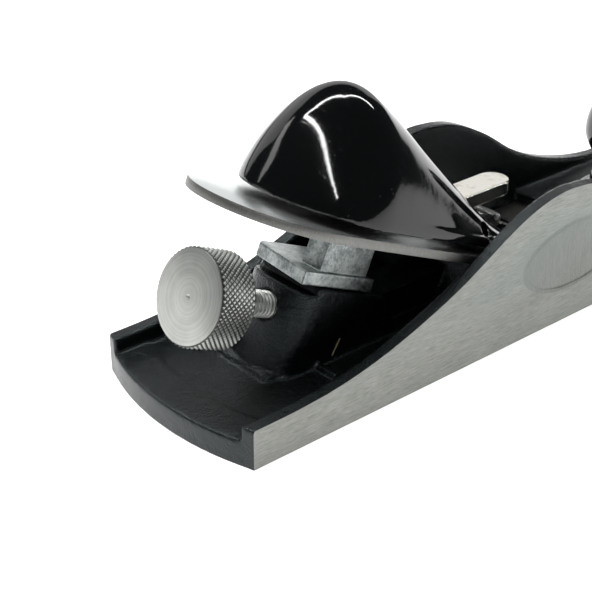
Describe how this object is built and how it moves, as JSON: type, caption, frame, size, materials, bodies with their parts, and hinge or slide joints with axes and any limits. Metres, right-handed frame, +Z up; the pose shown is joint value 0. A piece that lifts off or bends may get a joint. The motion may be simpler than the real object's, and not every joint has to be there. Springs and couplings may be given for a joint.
{
  "type": "block plane",
  "caption": "Low-angle hand plane with a hooded lever cap, a knurled depth wheel, an adjustable throat and a front knob.",
  "frame": {"origin": "middle of the sole, on the surface that the plane stands on", "axes": "+X towards the toe along the sole, +Z up out of the sole, +Y towards the left cheek seen from behind"},
  "size_m": [0.178, 0.05, 0.0632],
  "materials": {
    "black_japan": "black japanned grey iron, cheeks and sole ground bare",
    "cap_enamel": "gloss black enamelled grey iron",
    "ground_steel": "ground steel",
    "bright_steel": "turned bright steel",
    "cast_zinc": "as-cast zinc, slightly pitted",
    "chrome": "chrome plate",
    "black_lacquer": "gloss black"
  },
  "bodies": {
    "body": {"body_casting": "black_japan", "cap_screw": "bright_steel", "eccentric_pin": "bright_steel"},
    "adjuster": {"adjuster_slide": "cast_zinc"},
    "depth_screw": {"depth_wheel": "bright_steel", "depth_spindle": "bright_steel"},
    "iron": {"iron": "ground_steel"},
    "lever_cap": {"lever_cap": "cap_enamel", "cam_pin": "bright_steel"},
    "cam_lever": {"cam_lever": "chrome"},
    "throat": {"throat_plate": "ground_steel", "knob_stud": "bright_steel", "knob_washer": "bright_steel"},
    "eccentric_lever": {"eccentric_lever": "bright_steel"},
    "front_knob": {"front_knob": "black_lacquer"}
  },
  "joints": [
    {"name": "depth_feed", "type": "slide", "parent": "body", "child": "adjuster", "axis": [0.9135, 0, -0.4067], "range_m": [-0.002, 0.0015]},
    {"name": "depth_wheel_turn", "type": "hinge", "parent": "adjuster", "child": "depth_screw", "pos_m": [-0.08089, 0, 0.02755], "axis": [0.9135, 0, -0.4067], "range_deg": [-721, 541]},
    {"name": "iron_skew", "type": "hinge", "parent": "adjuster", "child": "iron", "pos_m": [-0.0449, -0.0065, 0.03364], "axis": [0.4067, 0, 0.9135], "range_deg": [-0.5, 0.5]},
    {"name": "lever_cap_slide", "type": "slide", "parent": "body", "child": "lever_cap", "axis": [-0.9135, 0, 0.4067], "range_m": [0, 0.009]},
    {"name": "cam_lever_swing", "type": "hinge", "parent": "lever_cap", "child": "cam_lever", "pos_m": [-0.0109, 0, 0.02616], "axis": [0, -1, 0], "range_deg": [0, 60]},
    {"name": "throat_slide", "type": "slide", "parent": "body", "child": "throat", "axis": [1, 0, 0], "range_m": [-0.0012, 0.0012]},
    {"name": "eccentric_swing", "type": "hinge", "parent": "throat", "child": "eccentric_lever", "pos_m": [0.0633, 0, 0.0083], "axis": [0, 0, 1], "range_deg": [-25.1, 25.1]},
    {"name": "knob_turn", "type": "hinge", "parent": "throat", "child": "front_knob", "pos_m": [0.0633, 0, 0.02], "axis": [0, 0, 1], "continuous": true}
  ],
  "couplings": [
    {"joint": "depth_wheel_turn", "follows": "depth_feed", "rad_per_m": 6283.2},
    {"joint": "eccentric_swing", "follows": "throat_slide", "rad_per_m": 363.61}
  ]
}
